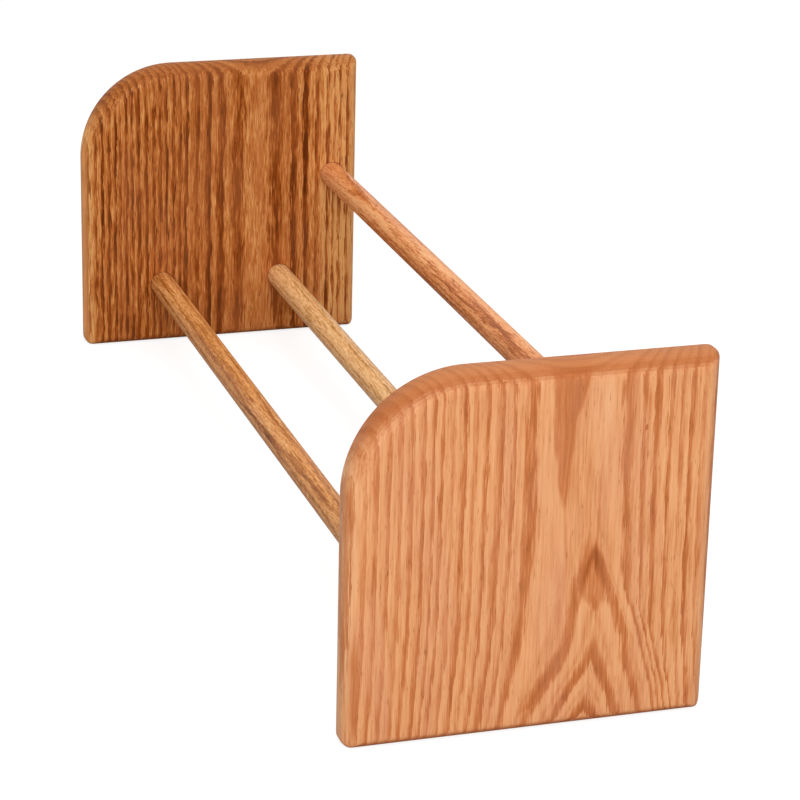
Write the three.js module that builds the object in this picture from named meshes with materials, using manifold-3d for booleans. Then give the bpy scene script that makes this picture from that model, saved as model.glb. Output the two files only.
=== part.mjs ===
// Oak rack for disc cases: two thick end panels joined by three round dowels.
//
// Millimetres, +Z up. X runs along the dowels and the open front faces -Y.
// The origin is at the middle of the rack's base.

import * as THREE from "three";
import { mergeVertices, toCreasedNormals } from "three/addons/utils/BufferGeometryUtils.js";
import Module from "manifold-3d";

const wasm = await Module();
wasm.setup();

// Driving dimensions of the rack
const bayLength = 584; // between the inner faces of the end panels

// Driving dimensions of an end panel
const panelThickness = 22;
const panelDepth = 184; // front edge to rear edge
const panelHeight = 185;
const sweepRadius = 60; // the large round corner at the top of the front edge
const cornerRadius = 4; // the other three corners
const edgeRadius = 9.5; // rounding along the front, top and rear edges
const footRadius = 5; // lighter rounding along the bottom edge, which leaves a flat foot
const faceCornerShare = 0.35; // how much of a corner's radius is left where its rounding meets the face

// Driving dimensions of a dowel and its socket
const dowelDiameter = 15.6;
const dowelChamfer = 1.2;
const socketDepth = 13;
const socketClearance = 0.3; // all round the dowel, for glue
const glueGap = 0.5; // between the dowel's end and the socket's floor

// Places of the dowels' axes
const shelfHeight = 39.5; // both shelf dowels above the foot
const frontShelfInset = 51; // front shelf dowel behind the front edge
const shelfSpacing = 79.5; // from the front shelf dowel to the rear one
const backStopHeight = 107.5;
const backStopInset = 18; // back stop dowel ahead of the rear edge

// How finely round stretches are divided
const sweepSteps = 28;
const cornerSteps = 7;
const edgeSteps = 9;
const dowelSides = 48;

const quarterTurn = Math.PI / 2;
const cutOverrun = 5; // how far a cutter stands out of the face that it cuts
const creaseAngle = quarterTurn / 3;

// Each dowel with the place of its axis in a panel: y from the middle of the panel, z from the foot
const frontEdge = -panelDepth / 2;
const rearEdge = panelDepth / 2;
const dowels = [
  { name: "front_shelf_dowel", y: frontEdge + frontShelfInset, z: shelfHeight, color: 0xc47f4a },
  { name: "rear_shelf_dowel", y: frontEdge + frontShelfInset + shelfSpacing, z: shelfHeight, color: 0xcb9458 },
  { name: "back_stop_dowel", y: rearEdge - backStopInset, z: backStopHeight, color: 0xc27c48 },
];

// The corners of a panel's outline, run through anticlockwise as seen from +X, from the front of the foot.
// side is -1 at the front and 1 at the rear. start is the angle where the corner's arc begins.
const corners = [
  { side: -1, top: false, radius: cornerRadius, start: 2 * quarterTurn, steps: cornerSteps },
  { side: 1, top: false, radius: cornerRadius, start: 3 * quarterTurn, steps: cornerSteps },
  { side: 1, top: true, radius: cornerRadius, start: 0, steps: cornerSteps },
  { side: -1, top: true, radius: sweepRadius, start: quarterTurn, steps: sweepSteps },
];

// The radius of a corner where its outline is drawn in. A large corner keeps its centre.
// A small one keeps a share of its radius, so that the rounding never folds over itself.
function drawnInRadius(corner, inset) {
  if (corner.radius > edgeRadius) return corner.radius - inset;
  const drawn = inset / edgeRadius;
  return corner.radius * (1 - drawn * (1 - faceCornerShare));
}

// One ring round the panel. turn is 0 where the rounding leaves the face and a quarter turn on the edge.
// The side rounding fades into the smaller foot rounding round each bottom corner.
// Each point is [distance below the face, y, z].
function panelRing(turn) {
  const inward = 1 - Math.sin(turn);
  const below = 1 - Math.cos(turn);
  const sideInset = edgeRadius * inward;
  const footInset = footRadius * inward;
  const ring = [];
  for (const corner of corners) {
    const radius = drawnInRadius(corner, sideInset);
    const centreY = corner.side * (panelDepth / 2 - sideInset - radius);
    const centreZ = corner.top ? panelHeight - sideInset - radius : footInset + radius;
    for (let i = 0; i <= corner.steps; i++) {
      const angle = corner.start + (quarterTurn * i) / corner.steps;
      const footShare = corner.top ? 0 : Math.sin(angle) ** 2;
      const rounding = THREE.MathUtils.lerp(edgeRadius, footRadius, footShare);
      ring.push([
        rounding * below,
        centreY + radius * Math.cos(angle),
        centreZ + radius * Math.sin(angle),
      ]);
    }
  }
  return ring;
}

// A panel without its sockets, centred on x = 0: a loft through the rings from one face to the other.
function panelBlank() {
  const turns = Array.from({ length: edgeSteps + 1 }, (_, i) => (quarterTurn * i) / edgeSteps);
  const half = turns.map(panelRing);
  const rings = [
    ...half.map((ring) => ring.map(([below, y, z]) => [below - panelThickness / 2, y, z])),
    ...half.toReversed().map((ring) => ring.map(([below, y, z]) => [panelThickness / 2 - below, y, z])),
  ];
  const count = rings[0].length;
  const index = [];
  for (let r = 0; r + 1 < rings.length; r++) {
    for (let j = 0; j < count; j++) {
      const next = (j + 1) % count;
      const [a, b, c, d] = [r * count + j, r * count + next, (r + 1) * count + next, (r + 1) * count + j];
      index.push(a, b, c, a, c, d);
    }
  }
  const outline = rings[0].map(([, y, z]) => new THREE.Vector2(y, z));
  const last = (rings.length - 1) * count;
  for (const [a, b, c] of THREE.ShapeUtils.triangulateShape(outline, [])) {
    index.push(a, c, b);
    index.push(last + a, last + b, last + c);
  }
  const geometry = new THREE.BufferGeometry();
  geometry.setAttribute("position", new THREE.Float32BufferAttribute(rings.flat(2), 3));
  geometry.setIndex(index);
  return geometry;
}

// A closed geometry as a solid, and a solid as a geometry with its round stretches shaded smooth
function solidFrom(geometry) {
  const bare = geometry.clone();
  bare.deleteAttribute("normal");
  bare.deleteAttribute("uv");
  const merged = mergeVertices(bare);
  return new wasm.Manifold(
    new wasm.Mesh({
      numProp: 3,
      vertProperties: merged.attributes.position.array,
      triVerts: new Uint32Array(merged.index.array),
    }),
  );
}

function geometryFrom(solid) {
  const mesh = solid.getMesh();
  const geometry = new THREE.BufferGeometry();
  geometry.setAttribute("position", new THREE.BufferAttribute(mesh.vertProperties, 3));
  geometry.setIndex(new THREE.BufferAttribute(mesh.triVerts, 1));
  return toCreasedNormals(geometry, creaseAngle);
}

// The cutter of a blind socket in a panel centred on x = 0. inward is the x direction towards the bay.
function socketCutter(dowel, inward) {
  const length = socketDepth + cutOverrun;
  const radius = dowelDiameter / 2 + socketClearance;
  const cutter = new THREE.CylinderGeometry(radius, radius, length, dowelSides);
  cutter.rotateZ(-quarterTurn);
  const middle = panelThickness / 2 - socketDepth + length / 2;
  cutter.translate(inward * middle, dowel.y, dowel.z);
  return cutter;
}

// An end panel with its three sockets. side is -1 at the left end and 1 at the right end.
function endPanel(name, side) {
  let solid = solidFrom(panelBlank());
  for (const dowel of dowels) {
    solid = solid.subtract(solidFrom(socketCutter(dowel, -side)));
  }
  const material = new THREE.MeshStandardMaterial({ color: 0xcc8450, roughness: 0.45, metalness: 0 });
  const mesh = new THREE.Mesh(geometryFrom(solid), material);
  mesh.name = name;
  mesh.position.x = (side * (bayLength + panelThickness)) / 2;
  return mesh;
}

// A dowel with chamfered ends, turned about its axis and laid along X between its two sockets
function dowelMesh({ name, y, z, color }) {
  const length = bayLength + 2 * (socketDepth - glueGap);
  const radius = dowelDiameter / 2;
  const profile = [
    new THREE.Vector2(0, -length / 2),
    new THREE.Vector2(radius - dowelChamfer, -length / 2),
    new THREE.Vector2(radius, -length / 2 + dowelChamfer),
    new THREE.Vector2(radius, length / 2 - dowelChamfer),
    new THREE.Vector2(radius - dowelChamfer, length / 2),
    new THREE.Vector2(0, length / 2),
  ];
  const geometry = geometryFrom(solidFrom(new THREE.LatheGeometry(profile, dowelSides)));
  const material = new THREE.MeshStandardMaterial({ color, roughness: 0.5, metalness: 0 });
  const mesh = new THREE.Mesh(geometry, material);
  mesh.name = name;
  mesh.rotation.z = -quarterTurn;
  mesh.position.set(0, y, z);
  return mesh;
}

const rack = new THREE.Group();
rack.add(endPanel("left_end_panel", -1));
rack.add(endPanel("right_end_panel", 1));
for (const dowel of dowels) {
  rack.add(dowelMesh(dowel));
}

export default rack;
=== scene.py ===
import math
import bpy
from mathutils import Euler, Matrix, Vector

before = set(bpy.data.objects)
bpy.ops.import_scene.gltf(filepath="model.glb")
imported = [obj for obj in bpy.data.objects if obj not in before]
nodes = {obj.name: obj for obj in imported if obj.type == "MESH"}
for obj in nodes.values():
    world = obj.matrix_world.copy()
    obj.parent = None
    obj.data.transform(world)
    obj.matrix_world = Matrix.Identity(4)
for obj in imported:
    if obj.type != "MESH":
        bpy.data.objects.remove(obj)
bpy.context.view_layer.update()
scene = bpy.context.scene
scene.view_settings.view_transform = "Standard"
print("rack loaded:", ", ".join(sorted(nodes)))


# Camera at the photograph's viewing angle

viewpoint = {
    "place": (1.49947, -0.44632, 0.62867),  # metres
    "right": (0.296135, 0.954893, 0.021998),
    "up": (-0.333195, 0.081692, 0.939312),
    "lens": 131.14,  # mm
    "sensor": 36,  # mm across
    "farClip": 50,  # metres
}


def setCamera(view):
    lens = bpy.data.cameras.new("viewpoint")
    lens.sensor_width = view["sensor"]
    lens.lens = view["lens"]
    lens.clip_end = view["farClip"]
    holder = bpy.data.objects.new("viewpoint", lens)
    right = Vector(view["right"]).normalized()
    back = right.cross(Vector(view["up"])).normalized()
    turn = Matrix((right, back.cross(right), back)).transposed()
    holder.matrix_world = Matrix.Translation(view["place"]) @ turn.to_4x4()
    scene.collection.objects.link(holder)
    scene.camera = holder


setCamera(viewpoint)
print("camera set")


# Helpers for building node trees

def addNode(tree, kind, inputs=None, **settings):
    node = tree.nodes.new(kind)
    for name, value in settings.items():
        setattr(node, name, value)
    for key, value in (inputs or {}).items():
        if isinstance(value, bpy.types.NodeSocket):
            tree.links.new(value, node.inputs[key])
        else:
            node.inputs[key].default_value = value
    return node


def calc(tree, operation, *values, clamp=False):
    inputs = dict(enumerate(values))
    return addNode(tree, "ShaderNodeMath", inputs, operation=operation, use_clamp=clamp).outputs[0]


def vectorCalc(tree, operation, *values):
    node = addNode(tree, "ShaderNodeVectorMath", dict(enumerate(values)), operation=operation)
    return node.outputs["Value" if operation in {"LENGTH", "DOT_PRODUCT"} else "Vector"]


def step(tree, value, low, high, toLow=0.0, toHigh=1.0):
    inputs = {"Value": value, "From Min": low, "From Max": high, "To Min": toLow, "To Max": toHigh}
    return addNode(tree, "ShaderNodeMapRange", inputs, interpolation_type="SMOOTHSTEP").outputs["Result"]


def mixColour(tree, share, first, second, blend="MIX"):
    inputs = {"Factor": share, "A": first, "B": second}
    node = addNode(tree, "ShaderNodeMix", data_type="RGBA", blend_type=blend, clamp_factor=True)
    for key, value in inputs.items():
        kind = "VALUE" if key == "Factor" else "RGBA"
        socket = next(s for s in node.inputs if s.name == key and s.type == kind)
        if isinstance(value, bpy.types.NodeSocket):
            tree.links.new(value, socket)
        else:
            socket.default_value = value
    return next(s for s in node.outputs if s.type == "RGBA")


# A line through (input, output) points
def curve(tree, value, points):
    node = addNode(tree, "ShaderNodeFloatCurve")
    low, high = points[0][0], points[-1][0]
    bottom = min(y for _, y in points)
    reach = max(y for _, y in points) - bottom or 1.0
    tree.links.new(calc(tree, "DIVIDE", calc(tree, "SUBTRACT", value, low), high - low), node.inputs["Value"])
    line = node.mapping.curves[0]
    while len(line.points) < len(points):
        line.points.new(0.5, 0.5)
    for point, (x, y) in zip(line.points, points):
        point.location = ((x - low) / (high - low), (y - bottom) / reach)
        point.handle_type = "VECTOR"
    node.mapping.update()
    return calc(tree, "MULTIPLY_ADD", node.outputs["Value"], reach, bottom)


def newGroup(name, vectors, values, outputs):
    tree = bpy.data.node_groups.new(name, "ShaderNodeTree")
    sockets = [("INPUT", "NodeSocketVector", label) for label in vectors]
    sockets += [("INPUT", "NodeSocketFloat", label) for label in values]
    sockets += [("OUTPUT", "NodeSocketFloat", label) for label in outputs]
    for direction, kind, label in sockets:
        tree.interface.new_socket(name=label, in_out=direction, socket_type=kind)
    return tree, tree.nodes.new("NodeGroupInput").outputs, tree.nodes.new("NodeGroupOutput").inputs


def useGroup(tree, group, inputs):
    return addNode(tree, "ShaderNodeGroup", inputs, node_tree=woodGroups[group]).outputs


def setInputs(tree, targets, values):
    for label, value in values.items():
        tree.links.new(value, targets[label])


# sRGB code to linear colour
def hexColour(code):
    channels = [int(code[i:i + 2], 16) / 255 for i in (0, 2, 4)]
    return tuple(c / 12.92 if c < 0.04045 else ((c + 0.055) / 1.055) ** 2.4 for c in channels) + (1.0,)


def newMaterial(name):
    material = bpy.data.materials.new(name)
    material.use_nodes = True
    material.node_tree.nodes.clear()
    return material, material.node_tree


# Wood groups. Grain is a place in the log in millimetres: x across the board, y into it, z along the fibres.

noiseSwing = 4.0  # stretches noise about its middle to run from about -1 to 1


def streaked(tree, grain, width, length, seed, detail=2.0, rough=0.6):
    size = addNode(tree, "ShaderNodeCombineXYZ", {"X": width, "Y": width, "Z": length}).outputs["Vector"]
    inputs = {"Vector": vectorCalc(tree, "DIVIDE", grain, size), "W": seed, "Scale": 1.0, "Detail": detail,
              "Roughness": rough}
    return addNode(tree, "ShaderNodeTexNoise", inputs, noise_dimensions="4D").outputs["Fac"]


def centred(tree, noise):
    return calc(tree, "MULTIPLY", calc(tree, "SUBTRACT", noise, 0.5), noiseSwing)


def scattered(tree, place):
    inputs = {"Vector": place, "Scale": 1.0}
    cells = addNode(tree, "ShaderNodeTexVoronoi", inputs, voronoi_dimensions="3D", feature="F1").outputs
    draw = addNode(tree, "ShaderNodeSeparateColor", {"Color": cells["Color"]}).outputs
    return cells["Distance"], draw


# Distance from the heart of the log, with a flame's cone cut into the rings

heartShape = {
    "flameBlend": 0.8,  # mm over which the cone runs into the rings
    "waveStretch": 5.0,  # length of a wave along the fibres for its width
    "waveDetail": 1.0,
    "waveRoughness": 0.4,
}


def makeHeartDistance(shape):
    values = ["Across", "Heart Depth", "Peak", "Wave", "Wave Length", "Fray", "Fray Width", "Fray Length", "Seed"]
    tree, given, result = newGroup("heartDistance", ["Grain"], values, ["Distance", "Angle"])
    grain, seed = given["Grain"], given["Seed"]
    inward = addNode(tree, "ShaderNodeSeparateXYZ", {"Vector": grain}).outputs["Y"]
    depth = calc(tree, "SUBTRACT", given["Heart Depth"], inward)
    away = addNode(tree, "ShaderNodeCombineXYZ", {"X": given["Across"], "Y": depth})
    distance = vectorCalc(tree, "LENGTH", away.outputs["Vector"])
    peak = calc(tree, "SUBTRACT", given["Peak"], inward)
    distance = calc(tree, "SMOOTH_MIN", distance, peak, shape["flameBlend"])
    stretched = calc(tree, "MULTIPLY", given["Wave Length"], shape["waveStretch"])
    broad = streaked(tree, grain, given["Wave Length"], stretched, seed, shape["waveDetail"], shape["waveRoughness"])
    torn = streaked(tree, grain, given["Fray Width"], given["Fray Length"], seed)
    for noise, amount in ((broad, given["Wave"]), (torn, given["Fray"])):
        distance = calc(tree, "MULTIPLY_ADD", centred(tree, noise), amount, distance)
    setInputs(tree, result, {"Distance": distance, "Angle": calc(tree, "ARCTAN2", given["Across"], depth)})
    return tree


# Pale early wood and dark late wood of each ring. Places in a ring are shares of its width.

ringShape = {
    "fadeStart": 0.06,  # where the early wood starts to darken
    "turn": (0.86, 0.98),  # where the next ring's early wood sets in
    "yearScale": 0.8,
    "weakYears": (0.3, 0.7),
    "falseRingPlace": 0.45,
    "falseRingDrift": 0.3,
    "falseRingHalf": (0.02, 0.11),
}


def makeRingTone(shape):
    values = ["Rings", "Early Share", "False Ring", "Unevenness", "Seed"]
    tree, given, result = newGroup("ringTone", [], values, ["Early"])
    phase = calc(tree, "FRACT", given["Rings"])
    fading = step(tree, phase, shape["fadeStart"], given["Early Share"], 1.0, 0.0)
    rising = step(tree, phase, *shape["turn"])
    count = calc(tree, "ADD", given["Rings"], given["Seed"])
    noise = {"W": count, "Scale": shape["yearScale"], "Detail": 0.0}
    year = addNode(tree, "ShaderNodeTexNoise", noise, noise_dimensions="1D").outputs["Fac"]
    weakness = calc(tree, "MULTIPLY", given["Unevenness"], step(tree, year, *shape["weakYears"]))
    strength = calc(tree, "SUBTRACT", 1.0, weakness)
    early = calc(tree, "MULTIPLY", calc(tree, "MAXIMUM", fading, rising), strength)
    middle = calc(tree, "MULTIPLY_ADD", year, shape["falseRingDrift"], shape["falseRingPlace"])
    off = calc(tree, "ABSOLUTE", calc(tree, "SUBTRACT", phase, middle))
    line = calc(tree, "MULTIPLY", step(tree, off, *shape["falseRingHalf"], 1.0, 0.0), given["False Ring"])
    setInputs(tree, result, {"Early": calc(tree, "MAXIMUM", early, line)})
    return tree


# Short dashes of open pores, crowded in the early wood. A pore's radius is a share of its cell.

poreShape = {
    "radius": 0.24,
    "radiusSpread": 0.16,
    "coreShare": 0.3,
    "depth": 0.4,
    "depthSpread": 0.6,
}


def makePores(shape):
    values = ["Early", "Width", "Length", "Sparse", "Dense"]
    tree, given, result = newGroup("openPores", ["Grain"], values, ["Pores"])
    size = addNode(tree, "ShaderNodeCombineXYZ", {"X": given["Width"], "Y": given["Width"], "Z": given["Length"]})
    distance, draw = scattered(tree, vectorCalc(tree, "DIVIDE", given["Grain"], size.outputs["Vector"]))
    spread = calc(tree, "SUBTRACT", given["Dense"], given["Sparse"])
    share = calc(tree, "MULTIPLY_ADD", spread, given["Early"], given["Sparse"])
    present = calc(tree, "LESS_THAN", draw["Red"], share)
    reach = calc(tree, "MULTIPLY_ADD", draw["Green"], shape["radiusSpread"], shape["radius"])
    dash = step(tree, distance, calc(tree, "MULTIPLY", reach, shape["coreShare"]), reach, 1.0, 0.0)
    depth = calc(tree, "MULTIPLY_ADD", draw["Blue"], shape["depthSpread"], shape["depth"])
    setInputs(tree, result, {"Pores": calc(tree, "MULTIPLY", calc(tree, "MULTIPLY", dash, present), depth)})
    return tree


# Slivers of rays, which run out from the heart

rayShape = {
    "perRadian": 110.0,
    "depth": 22.0,  # mm across the rings
    "edge": (0.1, 0.35),
}


def makeRays(shape):
    values = ["Distance", "Angle", "Height", "Share"]
    tree, given, result = newGroup("woodRays", ["Grain"], values, ["Rays"])
    along = addNode(tree, "ShaderNodeSeparateXYZ", {"Vector": given["Grain"]}).outputs["Z"]
    sheet = addNode(tree, "ShaderNodeCombineXYZ", {
        "X": calc(tree, "MULTIPLY", given["Angle"], shape["perRadian"]),
        "Y": calc(tree, "DIVIDE", given["Distance"], shape["depth"]),
        "Z": calc(tree, "DIVIDE", along, given["Height"]),
    })
    distance, draw = scattered(tree, sheet.outputs["Vector"])
    present = calc(tree, "LESS_THAN", draw["Red"], given["Share"])
    sliver = step(tree, distance, *shape["edge"], 1.0, 0.0)
    setInputs(tree, result, {"Rays": calc(tree, "MULTIPLY", sliver, present)})
    return tree


# Fibres, streaks, blotches and broad clouds of tone. Widths and lengths are in mm.

fibreShape = {
    "blotchWidth": 3.2,
    "blotchLength": 20.0,
    "blotchDetail": 1.0,
    "cloudWidth": 20.0,
    "cloudLength": 85.0,
}


def makeFibre(shape):
    values = ["Fine Width", "Fine Length", "Streak Width", "Streak Length", "Seed"]
    tree, given, result = newGroup("woodFibre", ["Grain"], values, ["Fine", "Streak", "Blotch", "Cloud"])
    grain, seed = given["Grain"], given["Seed"]
    noises = {
        "Fine": streaked(tree, grain, given["Fine Width"], given["Fine Length"], seed),
        "Streak": streaked(tree, grain, given["Streak Width"], given["Streak Length"], seed),
        "Blotch": streaked(tree, grain, shape["blotchWidth"], shape["blotchLength"], seed, shape["blotchDetail"]),
        "Cloud": streaked(tree, grain, shape["cloudWidth"], shape["cloudLength"], seed),
    }
    for label, noise in noises.items():
        setInputs(tree, result, {label: centred(tree, noise)})
    return tree


# Where the surface turns to end grain, to its flat crest, or to a rounded edge along the fibres.
# Each pair is the cosine where the mask starts and where it ends.

endShape = {
    "end": (0.12, 0.7),
    "crest": (0.5, 1.0),
    "edge": (0.3, 0.97),
}


def makeEndGrain(shape):
    tree, given, result = newGroup("endGrain", ["Fibre Direction", "Face Direction"], [], ["End", "Crest", "Edge"])
    normal = addNode(tree, "ShaderNodeNewGeometry").outputs["Normal"]
    alongFibre = calc(tree, "ABSOLUTE", vectorCalc(tree, "DOT_PRODUCT", normal, given["Fibre Direction"]))
    end = step(tree, alongFibre, *shape["end"])
    crest = step(tree, alongFibre, *shape["crest"])
    flat = calc(tree, "ABSOLUTE", vectorCalc(tree, "DOT_PRODUCT", normal, given["Face Direction"]))
    turned = step(tree, flat, *shape["edge"], 1.0, 0.0)
    edge = calc(tree, "MULTIPLY", turned, calc(tree, "SUBTRACT", 1.0, end))
    setInputs(tree, result, {"End": end, "Crest": crest, "Edge": edge})
    return tree


woodGroups = {
    "distance": makeHeartDistance(heartShape),
    "rings": makeRingTone(ringShape),
    "pores": makePores(poreShape),
    "rays": makeRays(rayShape),
    "fibre": makeFibre(fibreShape),
    "ends": makeEndGrain(endShape),
}
print("wood node groups built:", len(woodGroups))


# An oak material. board holds where the piece lay in its log and how its finish looks.

perMetre = 1000.0  # mm
farAway = 1000.0  # mm, a flame's cone that never meets the board

oakShape = {
    "boldRadii": (43.0, 50.0),  # mm from the heart where the bolder inner rings fade to plain ones
    "tintClouds": (-0.5, 0.9),
    "edgeSheenBlotch": 0.6,
    "cloudRoughness": 0.05,
    "poreRoughness": 0.2,
    "endRoughness": 0.08,
    "edgeRoughness": -0.06,
    "fineHeight": 0.12,
    "poreHeight": -1.0,
    "earlyHeight": -0.25,
    "relief": 0.0002,  # metres
}


def ramp(tree, value, tones):
    node = addNode(tree, "ShaderNodeValToRGB", {"Fac": value})
    stops = node.color_ramp.elements
    while len(stops) < len(tones):
        stops.new(1.0)
    for stop, (position, code) in zip(stops, sorted(tones.items())):
        stop.position = position
        stop.color = hexColour(code)
    return node.outputs["Color"]


def grainPlace(tree, board):
    place = addNode(tree, "ShaderNodeTexCoord").outputs["Object"]
    turn = Euler([math.radians(a) for a in board["turn"]])
    origin = turn.to_matrix() @ (Vector(board["from"]) * perMetre)
    inputs = {"Vector": place, "Location": -origin, "Rotation": turn, "Scale": (perMetre, perMetre, perMetre)}
    return addNode(tree, "ShaderNodeMapping", inputs, vector_type="POINT").outputs["Vector"]


# The depth of the flame's cone behind the board's face
def flamePeak(tree, board, across, along):
    off = calc(tree, "SUBTRACT", across, curve(tree, along, board["flameMiddle"]))
    beyond = calc(tree, "MAXIMUM", calc(tree, "SUBTRACT", off, curve(tree, along, board["flameReach"])), 0.0)
    rim = calc(tree, "MULTIPLY", beyond, board["flameRim"])
    rearRise = calc(tree, "MULTIPLY_ADD", off, board["flameRearSlope"], rim)
    forward = calc(tree, "MULTIPLY", off, -1.0)
    frontRise = calc(tree, "MULTIPLY", forward, curve(tree, along, board["flameFrontSlope"]))
    steeper = calc(tree, "MAXIMUM", rearRise, frontRise)
    rise = calc(tree, "MULTIPLY_ADD", calc(tree, "MULTIPLY", off, off), board["flameCup"], steeper)
    return calc(tree, "ADD", rise, curve(tree, along, board["flameDepth"]))


# The heart's place as it wanders along the board, and the fray of the rings there
def bendHeart(tree, board, across, along):
    depth = board["heartDepth"]
    if isinstance(depth, list):
        depth = curve(tree, along, depth)
    if not board["drift"]:
        return across, depth, farAway, board["fray"]
    offset = calc(tree, "DIVIDE", across, board["bendReach"])
    squared = calc(tree, "MULTIPLY", offset, offset)
    nearness = calc(tree, "EXPONENT", calc(tree, "MULTIPLY", squared, -1.0))
    fray = calc(tree, "MULTIPLY_ADD", nearness, -board["flameCalm"] * board["fray"], board["fray"])
    peak = flamePeak(tree, board, across, along)
    shift = calc(tree, "MULTIPLY", curve(tree, along, board["drift"]), nearness)
    depth = calc(tree, "MULTIPLY_ADD", curve(tree, along, board["swell"]), nearness, depth)
    return calc(tree, "SUBTRACT", across, shift), depth, peak, fray


def markTone(tree, board, across, along, fibre):
    total = 0.0
    for mark in board["marks"]:
        middle = curve(tree, along, mark["middle"])
        half = curve(tree, along, mark["half"])
        off = calc(tree, "ABSOLUTE", calc(tree, "SUBTRACT", across, middle))
        off = calc(tree, "MULTIPLY_ADD", fibre["Streak"], mark["ragged"], off)
        off = calc(tree, "MULTIPLY_ADD", fibre["Blotch"], mark["ragged"], off)
        inside = step(tree, calc(tree, "SUBTRACT", half, off), -mark["soft"], mark["soft"])
        total = calc(tree, "MULTIPLY_ADD", inside, mark["tone"], total)
    return total


def ringCount(tree, board, distance):
    points = [(radius, float(i)) for i, radius in enumerate(board["ringRadii"])] + board["ringBends"]
    return curve(tree, distance, sorted(points))


# Masks of the wood's figure on a piece, by name
def readFigure(tree, board, grain):
    seed = board["seed"]
    place = addNode(tree, "ShaderNodeSeparateXYZ", {"Vector": grain}).outputs
    across, depth, peak, fray = bendHeart(tree, board, place["X"], place["Z"])
    heart = useGroup(tree, "distance", {
        "Grain": grain, "Across": across, "Heart Depth": depth, "Peak": peak, "Seed": seed,
        "Wave": board["wave"], "Wave Length": board["waveLength"],
        "Fray": fray, "Fray Width": board["frayWidth"], "Fray Length": board["frayLength"],
    })
    early = useGroup(tree, "rings", {
        "Rings": ringCount(tree, board, heart["Distance"]), "Early Share": board["earlyShare"],
        "False Ring": board["falseRing"], "Unevenness": board["unevenness"], "Seed": seed,
    })["Early"]
    pores = useGroup(tree, "pores", {
        "Grain": grain, "Early": early, "Width": board["poreWidth"], "Length": board["poreLength"],
        "Sparse": board["poreSparse"], "Dense": board["poreDense"],
    })["Pores"]
    rays = useGroup(tree, "rays", {
        "Grain": grain, "Distance": heart["Distance"], "Angle": heart["Angle"],
        "Height": board["rayHeight"], "Share": board["rayShare"],
    })["Rays"]
    fibre = useGroup(tree, "fibre", {
        "Grain": grain, "Seed": seed, "Fine Width": board["fineWidth"], "Fine Length": board["fineLength"],
        "Streak Width": board["streakWidth"], "Streak Length": board["streakLength"],
    })
    ends = useGroup(tree, "ends", {"Fibre Direction": board["fibres"], "Face Direction": board["faces"]})
    marks = markTone(tree, board, place["X"], place["Z"], fibre)
    return {"distance": heart["Distance"], "early": early, "pores": pores, "rays": rays, "fibre": fibre,
            "ends": ends, "marks": marks}


def faceColour(tree, board, figure):
    early, fibre, pores = figure["early"], figure["fibre"], figure["pores"]
    bold = step(tree, figure["distance"], *oakShape["boldRadii"], board["heartContrast"], 1.0)
    patchy = calc(tree, "MULTIPLY_ADD", fibre["Blotch"], board["patchiness"], bold)
    rings = calc(tree, "MULTIPLY", early, patchy)
    tone = calc(tree, "MULTIPLY_ADD", rings, board["ringContrast"], board["baseTone"])
    tone = calc(tree, "ADD", tone, figure["marks"])
    tone = calc(tree, "MULTIPLY_ADD", fibre["Streak"], board["streaks"], tone)
    tone = calc(tree, "MULTIPLY_ADD", fibre["Fine"], board["fineness"], tone)
    tone = calc(tree, "MULTIPLY_ADD", fibre["Cloud"], board["unevenTone"], tone, clamp=True)
    wood = ramp(tree, tone, board["tones"])
    tint = step(tree, fibre["Cloud"], *oakShape["tintClouds"], 0.0, board["tint"])
    wood = mixColour(tree, tint, wood, hexColour(board["tintColour"]))
    rays = calc(tree, "MULTIPLY", figure["rays"], board["rayTone"])
    wood = mixColour(tree, rays, wood, hexColour(board["rayColour"]))
    return mixColour(tree, calc(tree, "MULTIPLY", pores, board["poreTone"]), wood, hexColour(board["poreColour"]))


def endColour(tree, board, figure):
    pores = calc(tree, "MULTIPLY", figure["pores"], board["endPores"])
    dark = calc(tree, "MULTIPLY_ADD", figure["early"], board["endRings"], pores)
    crest = figure["ends"]["Crest"]
    # The crest colour is a painted sheen: the flat top of the end grain is lighter than its rounded sides
    base = mixColour(tree, crest, hexColour(board["endColour"]), hexColour(board["crestSheenColour"]))
    return mixColour(tree, dark, base, hexColour(board["poreColour"]))


def woodColour(tree, board, figure):
    ends = figure["ends"]
    endShare = calc(tree, "MULTIPLY", ends["End"], board["endTone"])
    wood = mixColour(tree, endShare, faceColour(tree, board, figure), endColour(tree, board, figure))
    # Painted sheen: the rounded long edges are lightened with a pale colour, blotchy along the fibres, in place of a
    # grazing reflection
    sheenPatches = calc(tree, "MULTIPLY_ADD", figure["fibre"]["Blotch"], oakShape["edgeSheenBlotch"], 1.0)
    sheenShare = calc(tree, "MULTIPLY", calc(tree, "MULTIPLY", ends["Edge"], sheenPatches), board["paintedEdgeSheen"])
    return mixColour(tree, sheenShare, wood, hexColour(board["paintedSheenColour"]), "SCREEN")


def woodRoughness(tree, board, figure):
    ends = figure["ends"]
    rough = calc(tree, "MULTIPLY_ADD", figure["fibre"]["Cloud"], oakShape["cloudRoughness"], board["roughness"])
    rough = calc(tree, "MULTIPLY_ADD", figure["pores"], oakShape["poreRoughness"], rough)
    rough = calc(tree, "MULTIPLY_ADD", ends["End"], oakShape["endRoughness"], rough)
    return calc(tree, "MULTIPLY_ADD", ends["Edge"], oakShape["edgeRoughness"], rough, clamp=True)


def woodBump(tree, board, figure):
    sunk = calc(tree, "MULTIPLY", figure["pores"], oakShape["poreHeight"])
    height = calc(tree, "MULTIPLY_ADD", figure["fibre"]["Fine"], oakShape["fineHeight"], sunk)
    height = calc(tree, "MULTIPLY_ADD", figure["early"], oakShape["earlyHeight"], height)
    inputs = {"Height": height, "Strength": board["bump"], "Distance": oakShape["relief"]}
    return addNode(tree, "ShaderNodeBump", inputs).outputs["Normal"]


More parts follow.
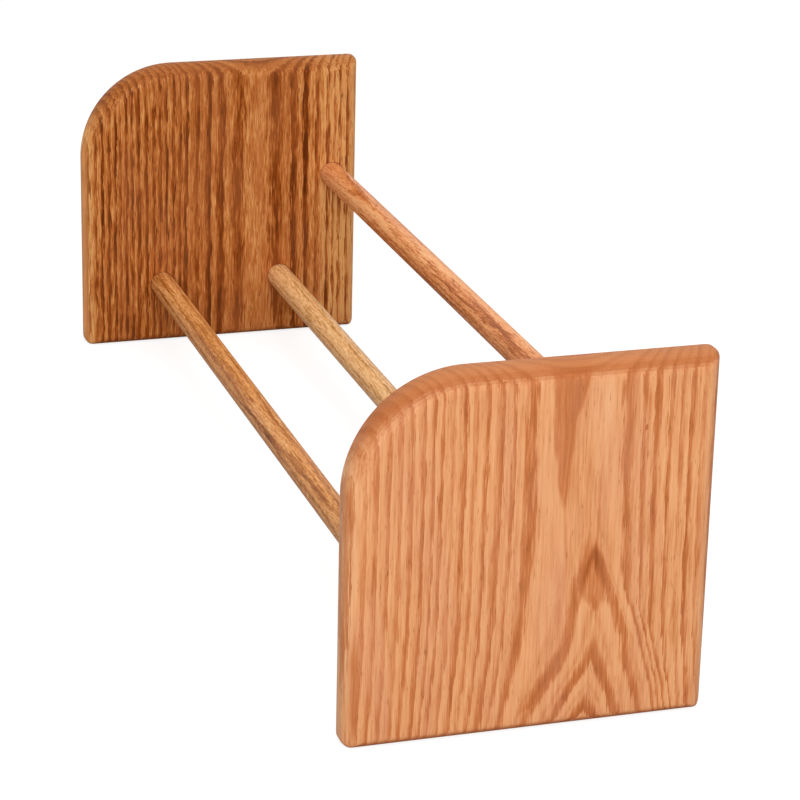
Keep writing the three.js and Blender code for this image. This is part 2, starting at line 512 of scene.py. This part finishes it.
def oak(name, board):
    material, tree = newMaterial(name)
    figure = readFigure(tree, board, grainPlace(tree, board))
    shader = addNode(tree, "ShaderNodeBsdfPrincipled", {
        "Base Color": woodColour(tree, board, figure),
        "Roughness": woodRoughness(tree, board, figure),
        "Normal": woodBump(tree, board, figure),
        "Specular IOR Level": board["sheen"],
    })
    addNode(tree, "ShaderNodeOutputMaterial", {"Surface": shader.outputs["BSDF"]})
    return material


def giveFinish(node, material):
    for slot in nodes[node].material_slots:
        slot.material = material


# Right end panel: plain-sawn, its heart behind the outer face, with nested flame tips low on that face.
# A list of pairs runs up the board, or along a dowel: the place in mm, then the value there.

rightPanel = {
    "from": (0.314, 0.0202, 0.0),
    "turn": (0.0, 0.0, -90.0),
    "fibres": (0.0, 0.0, 1.0),
    "faces": (1.0, 0.0, 0.0),
    "heartDepth": [(-10, 31.5), (5, 33.4), (25, 36.6), (45, 39.2), (60, 40.2), (89, 40.9), (105, 41.2), (140, 41.6),
                   (200, 41.8)],
    "flameMiddle": [(-10, 7.0), (9, 8.5), (15, 9.5), (30, 10.5), (45, 12.0), (61, 11.2), (75, 10.3), (200, 10.3)],
    "flameDepth": [(-10, 27.0), (5, 29.3), (15, 31.0), (27, 33.3), (35, 34.4), (45, 35.5), (61, 37.05), (75, 38.6),
                   (89, 40.2), (96, 42.0), (110, 48.0), (200, 60.0)],
    "flameFrontSlope": [(-10, 0.26), (19, 0.26), (27, 0.28), (35, 0.34), (45, 0.30), (60, 0.24), (75, 0.20),
                        (200, 0.20)],
    "flameRearSlope": 0.26,
    "flameReach": [(-10, 36.0), (20, 28.0), (45, 18.0), (60, 13.0), (77, 8.0), (90, 3.0), (200, 3.0)],
    "flameRim": 0.8,  # extra slope beyond that reach
    "flameCup": 0.005,
    "flameCalm": 0.5,  # share of the fray lost inside the flame
    "swell": [(-10, 0.0), (60, 0.0), (75, 0.2), (92, 0.5), (104, 1.5), (200, 1.2)],
    "drift": [(-10, 2.0), (30, 9.0), (92, 9.5), (130, 2.0), (200, 0.0)],
    "bendReach": 17.0,
    "heartContrast": 1.5,
    "marks": [
        {"middle": [(80, -4.2), (89, -4.2), (110, -5.6), (125, -6.6), (145, -7.7), (158, -7.5), (168, -6.0),
                    (185, -4.0)],
         "half": [(80, -1.5), (90, 0.1), (112, 0.3), (118, 1.6), (125, 2.8), (145, 4.5), (158, 5.4), (168, 7.2),
                  (185, 10.5)],
         "tone": 0.28, "soft": 1.1, "ragged": 0.9},  # dark flame hanging from the top edge
        {"middle": [(78, 11.0), (130, 12.0)], "half": [(76, -1.5), (82, 0.5), (110, 0.5), (130, -1.5)],
         "tone": 0.24, "soft": 0.8, "ragged": 0.5},  # thin spine over the flame tips
        {"middle": [(130, 10.0), (185, 9.5)], "half": [(124, -2.0), (136, 3.5), (160, 6.5), (185, 6.0)],
         "tone": -0.1, "soft": 2.0, "ragged": 0.8},  # pale oval beside the dark flame
        {"middle": [(60, 12.0), (75, 10.3), (92, 10.3)],
         "half": [(57, -1.0), (65, 4.5), (75, 6.2), (84, 4.5), (95, -1.0)],
         "tone": 0.27, "soft": 1.8, "ragged": 1.4},  # dark tip of the outer flame
        {"middle": [(10, -24.0), (18, -19.0), (27, -12.5), (42, -4.0)],
         "half": [(6, -1.0), (14, 3.0), (24, 3.0), (36, 2.0), (48, -1.0)],
         "tone": 0.16, "soft": 1.6, "ragged": 1.2},  # smudge low on the flame's front limb
        {"middle": [(148, 33.4), (154, 33.4)], "half": [(148.5, -0.8), (150.3, 0.7), (152, 0.7), (153.5, -0.8)],
         "tone": 0.4, "soft": 0.4, "ragged": 0.1},  # pin mark
        {"middle": [(0, -114.0), (185, -114.0)], "half": [(30, 2.0), (60, 6.0), (185, 6.0)],
         "tone": -0.14, "soft": 3.0, "ragged": 1.0},  # painted light: paler front edge, in place of light from the front
        {"middle": [(0, -107.0), (70, -108.0)], "half": [(4, -1.0), (16, 1.6), (45, 1.4), (70, -1.0)],
         "tone": 0.22, "soft": 1.5, "ragged": 0.8},  # dark streak low beside it
    ],
    "ringRadii": [0, 5, 10, 14.5, 19, 23.5, 26.5, 29.9, 34.4, 40, 48.2, 52.5, 56.1, 61.4, 65.6, 69.4, 74.1, 78.5, 82,
                  86, 91.3, 96.1, 101.3, 106.4, 111.2, 115.9, 120.5, 125, 130, 135],
    "ringBends": [(31.6, 7.5), (36.3, 8.5), (41.9, 9.5)],
    "earlyShare": 0.62,
    "falseRing": 0.2,
    "unevenness": 0.45,
    "wave": 0.5,
    "waveLength": 26.0,
    "fray": 1.0,
    "frayWidth": 1.0,
    "frayLength": 18.0,
    "seed": 3.1,
    "poreWidth": 0.55,
    "poreLength": 6.0,
    "poreSparse": 0.1,
    "poreDense": 1.0,
    "poreTone": 0.7,
    "rayHeight": 12.0,
    "rayShare": 0.12,
    "rayTone": 0.25,
    "fineWidth": 0.45,
    "fineLength": 13.0,
    "streakWidth": 1.6,
    "streakLength": 36.0,
    "patchiness": 0.45,
    "ringContrast": 0.39,
    "baseTone": 0.3,
    "streaks": 0.16,
    "fineness": 0.1,
    "unevenTone": 0.05,
    "tint": 0.3,
    # a faint painted sheen on the rounded edges
    "paintedEdgeSheen": 0.12,
    "endTone": 0.9,
    "endRings": 0.25,
    "endPores": 0.7,
    "roughness": 0.44,
    "sheen": 0.2,
    "bump": 0.5,
    "tones": {0.0: "f0b685", 0.3: "e29f6c", 0.6: "c4733e", 1.0: "964810"},
    "tintColour": "da9a76",
    "rayColour": "a85a2c",
    "poreColour": "8a451e",
    "endColour": "ac5c28",
    # painted sheen on the flat top edges
    "crestSheenColour": "bb7340",
    "paintedSheenColour": "cf8a58",
}
giveFinish("right_end_panel", oak("oakRightPanel", rightPanel))


# Left end panel: a redder board with no flame; its darker tones are partly the wood's own and partly painted shade

leftPanel = {
    **rightPanel,
    "from": (-0.292, 0.023, 0.0),
    "heartDepth": [(-10, 37.4), (60, 37.8), (200, 38.4)],
    "drift": None,
    "marks": [
        {"middle": [(0, -118.0), (185, -118.0)], "half": [(0, 9.0), (185, 9.0)],
         "tone": -0.22, "soft": 6.0, "ragged": 1.0},  # painted light: paler towards the front edge
        {"middle": [(0, 66.0), (185, 66.0)], "half": [(0, 24.0), (185, 24.0)],
         "tone": -0.28, "soft": 10.0, "ragged": 1.0},  # paler towards the rear edge
        {"middle": [(0, -60.0), (185, -60.0)], "half": [(0, 48.0), (24, 40.0), (50, -12.0)],
         "tone": 0.07, "soft": 10.0, "ragged": 1.0},  # painted shade: darker low at the front
    ],
    "ringBends": [],
    "ringRadii": [0, 5, 9, 14, 18, 22, 26, 31.6, 40, 44.5, 49.5, 55, 60.8, 64.2, 67.4, 71.7, 75.2, 78.8, 83.2, 87.7,
                  91.9, 95.1, 98.8, 101.6, 105.3, 110, 114, 118, 122, 127, 132],
    "heartContrast": 1.1,
    "seed": 8.4,
    "fray": 1.2,
    "frayLength": 14.0,
    "patchiness": 0.7,
    "ringContrast": 0.6,
    "baseTone": 0.25,
    "streaks": 0.23,
    "streakWidth": 1.3,
    "streakLength": 11.0,
    "fineness": 0.16,
    "fineLength": 8.0,
    "poreWidth": 0.9,
    "poreLength": 7.0,
    "poreSparse": 0.2,
    "poreTone": 0.85,
    # painted sheen on the rounded front and rear edges
    "paintedEdgeSheen": 0.65,
    "endTone": 0.55,
    "sheen": 0.09,
    "tones": {0.0: "e6a664", 0.3: "c07034", 0.6: "8c420c", 1.0: "5c2600"},
    "tintColour": "ba6e3e",
    "rayColour": "7e3c12",
    "poreColour": "4c2004",
    "endColour": "965020",
    "crestSheenColour": "a86432",
    "paintedSheenColour": "fca261",
}
giveFinish("left_end_panel", oak("oakLeftPanel", leftPanel))


# Dowels: straight-grained rods with even rings and fibres along x, each from its own stick

def evenRings(width, count):
    return [i * width for i in range(count)]


frontDowel = {
    **rightPanel,
    "from": (0.0, -0.041, 0.0395),
    "turn": (55.0, -88.8, 0.0),
    "fibres": (1.0, 0.0, 0.0),
    "paintedEdgeSheen": 0.0,
    "sheen": 0.13,
    "heartDepth": 45.0,
    "drift": None,
    "marks": [
        {"middle": [(-260, -6.0), (-240, -5.2), (-140, -1.1), (-83, 0.5), (-13, 4.3), (60, 4.6)],
         "half": [(-270, 0.3), (-140, 0.6), (-60, 0.9), (20, 0.8), (70, -1.0)],
         "tone": 0.34, "soft": 0.9, "ragged": 0.5},
        {"middle": [(-20, 2.6), (60, 3.0), (130, 2.2), (200, 1.0)],
         "half": [(-30, -1.0), (0, 0.6), (110, 0.9), (200, 0.3)],
         "tone": 0.34, "soft": 0.9, "ragged": 0.5},
    ],
    "ringBends": [],
    "ringRadii": evenRings(2.2, 60),
    "wave": 1.2,
    "waveLength": 16.0,
    "fray": 0.7,
    "poreWidth": 0.8,
    "poreLength": 6.0,
    "poreSparse": 0.2,
    "poreTone": 0.9,
    "streakWidth": 0.6,
    "streakLength": 20.0,
    "streaks": 0.22,
    "fineWidth": 0.75,
    "fineLength": 5.0,
    "fineness": 0.3,
    "seed": 5.0,
    "tones": {0.0: "f4bc7c", 0.3: "e29c5c", 0.6: "b46c2e", 1.0: "803e0e"},
    "tintColour": "dc965a",
    "poreColour": "7a3a14",
}
giveFinish("front_shelf_dowel", oak("oakFrontDowel", frontDowel))

# Rear dowel: yellower wood; its very pale tones are partly painted light, making up for the shade between the panels
rearDowel = {
    **frontDowel,
    "from": (0.0, 0.0385, 0.0395),
    "turn": (55.0, -92.2, 0.0),
    "ringRadii": evenRings(1.4, 90),
    "ringContrast": 0.35,
    "wave": 0.7,
    "poreTone": 0.85,
    "poreSparse": 0.3,
    "poreDense": 0.95,
    "poreLength": 16.0,
    "seed": 15.0,
    "marks": [],
    "tones": {0.0: "ffd8a6", 0.3: "fac48a", 0.6: "d09450", 1.0: "8c5620"},
    "tintColour": "ecb278",
    "poreColour": "7a5020",
}
giveFinish("rear_shelf_dowel", oak("oakRearDowel", rearDowel))

stopDowel = {
    **frontDowel,
    "from": (0.0, 0.074, 0.1075),
    "turn": (55.0, -87.6, 0.0),
    "poreLength": 9.0,
    "seed": 22.0,
    "marks": [
        {"middle": [(-210, 0.0), (-120, 3.5), (-20, 6.5), (60, 7.5)],
         "half": [(-230, -1.0), (-190, 0.8), (-60, 1.2), (60, -1.0)],
         "tone": 0.26, "soft": 0.9, "ragged": 0.6},
        {"middle": [(-60, -3.0), (20, -1.0), (80, 3.0), (110, 6.0)],
         "half": [(-90, -1.0), (-30, 0.5), (60, 0.9), (110, -0.5)],
         "tone": 0.26, "soft": 0.8, "ragged": 0.5},
        {"middle": [(-300, -6.0), (300, -5.0)], "half": [(-300, 4.0), (300, 4.0)],
         "tone": -0.3, "soft": 2.5, "ragged": 0.6},  # painted light: paler along the upper side
    ],
    "tones": {0.0: "f8b67c", 0.3: "e8975c", 0.6: "b8652e", 1.0: "823c0c"},
    "tintColour": "de8e5c",
}
giveFinish("back_stop_dowel", oak("oakStopDowel", stopDowel))
print("oak finishes set on", len(nodes), "pieces")


# Pale floor, white surround and soft studio light

studio = {
    "floorSize": 16.0,  # metres
    "ambient": 0.5,  # light from the surround, which is seen at full white
    "floorWhite": 0.78,
    "floorShade": 0.34,
    "floorBounce": 0.5,
    "lamps": {
        "key": {"place": (1.9, -0.45, 1.05), "aim": (0.0, 0.0, 0.08), "size": 1.2, "power": 25.4},
        "top": {"place": (0.0, 0.3, 1.8), "aim": (0.0, 0.0, 0.1), "size": 1.6, "power": 13.0},
    },
}


def makeFloor(settings):
    half = settings["floorSize"] / 2
    mesh = bpy.data.meshes.new("floor")
    mesh.from_pydata([(-half, -half, 0), (half, -half, 0), (half, half, 0), (-half, half, 0)], [], [(0, 1, 2, 3)])
    floor = bpy.data.objects.new("floor", mesh)
    scene.collection.objects.link(floor)
    material, tree = newMaterial("paleFloor")
    path = addNode(tree, "ShaderNodeLightPath").outputs
    shade, bounced = settings["floorShade"], settings["floorBounce"]
    bounce = addNode(tree, "ShaderNodeBsdfDiffuse", {"Color": (bounced, bounced, bounced, 1.0)})
    soft = addNode(tree, "ShaderNodeBsdfDiffuse", {"Color": (shade, shade, shade, 1.0)})
    white = addNode(tree, "ShaderNodeEmission", {"Color": (1.0, 1.0, 1.0, 1.0), "Strength": settings["floorWhite"]})
    shown = addNode(tree, "ShaderNodeAddShader", {0: soft.outputs["BSDF"], 1: white.outputs["Emission"]})
    sides = {0: path["Is Camera Ray"], 1: bounce.outputs["BSDF"], 2: shown.outputs["Shader"]}
    either = addNode(tree, "ShaderNodeMixShader", sides)
    addNode(tree, "ShaderNodeOutputMaterial", {"Surface": either.outputs["Shader"]})
    mesh.materials.append(material)


def makeSurround(settings):
    world = bpy.data.worlds.new("studio")
    world.use_nodes = True
    tree = world.node_tree
    tree.nodes.clear()
    path = addNode(tree, "ShaderNodeLightPath").outputs
    seen = calc(tree, "ADD", path["Is Camera Ray"], path["Is Glossy Ray"], clamp=True)
    strength = calc(tree, "ADD", calc(tree, "MULTIPLY", seen, 1.0 - settings["ambient"]), settings["ambient"])
    back = addNode(tree, "ShaderNodeBackground", {"Color": (1.0, 1.0, 1.0, 1.0), "Strength": strength})
    addNode(tree, "ShaderNodeOutputWorld", {"Surface": back.outputs["Background"]})
    scene.world = world


def hangLamp(name, settings):
    light = bpy.data.lights.new(name, "AREA")
    light.shape = "SQUARE"
    light.size = settings["size"]
    light.energy = settings["power"]
    lamp = bpy.data.objects.new(name, light)
    lamp.location = settings["place"]
    beam = Vector(settings["aim"]) - Vector(settings["place"])
    lamp.rotation_euler = beam.to_track_quat("-Z", "Y").to_euler()
    scene.collection.objects.link(lamp)


makeFloor(studio)
makeSurround(studio)
for name, settings in studio["lamps"].items():
    hangLamp(name, settings)
print("studio lit with", len(studio["lamps"]), "lamps")
